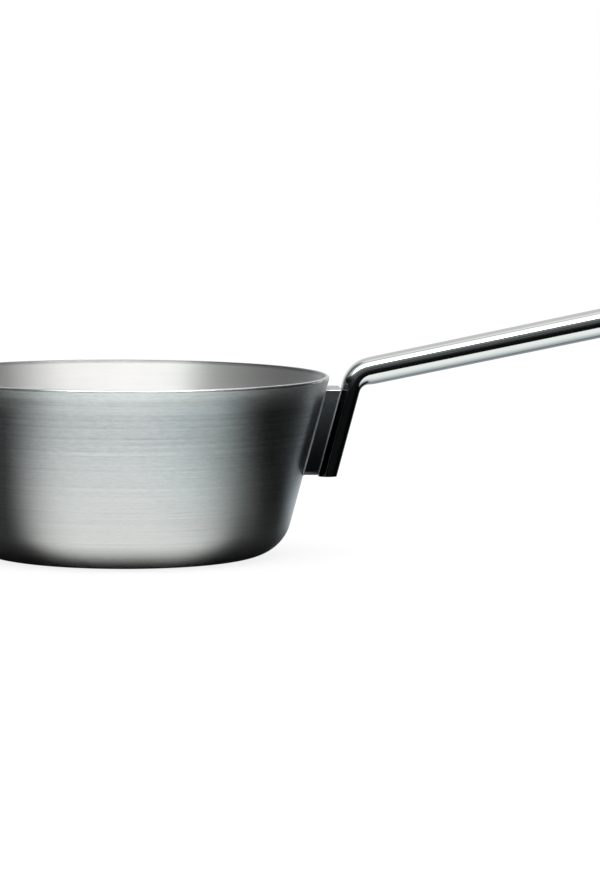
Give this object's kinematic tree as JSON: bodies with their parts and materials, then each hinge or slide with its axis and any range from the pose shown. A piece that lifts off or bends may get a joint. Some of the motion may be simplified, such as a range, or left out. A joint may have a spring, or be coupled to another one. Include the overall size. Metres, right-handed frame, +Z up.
{
  "type": "deep saute pan",
  "caption": "Deep saute pan with a tapered clad body, a stand-off bracket and a long bent tube handle with a hanging hole.",
  "frame": {"origin": "on the axis of the round body, on the surface that the base stands on", "axes": "+Z up along the body's axis, +X along the handle away from the body, +Y to the left of the handle"},
  "size_m": [0.399, 0.2, 0.133],
  "materials": {
    "outer_steel": "brushed round the body",
    "core_aluminium": "satin, seen only as a line in the rim",
    "inner_steel": "satin",
    "bracket_steel": "finely brushed",
    "handle_steel": "polished"
  },
  "bodies": {
    "root": {"outer_skin": "outer_steel", "aluminium_core": "core_aluminium", "inner_skin": "inner_steel", "handle_bracket": "bracket_steel", "handle_tube": "handle_steel", "foot_plate": "handle_steel", "handle_tip": "handle_steel"}
  },
  "joints": []
}
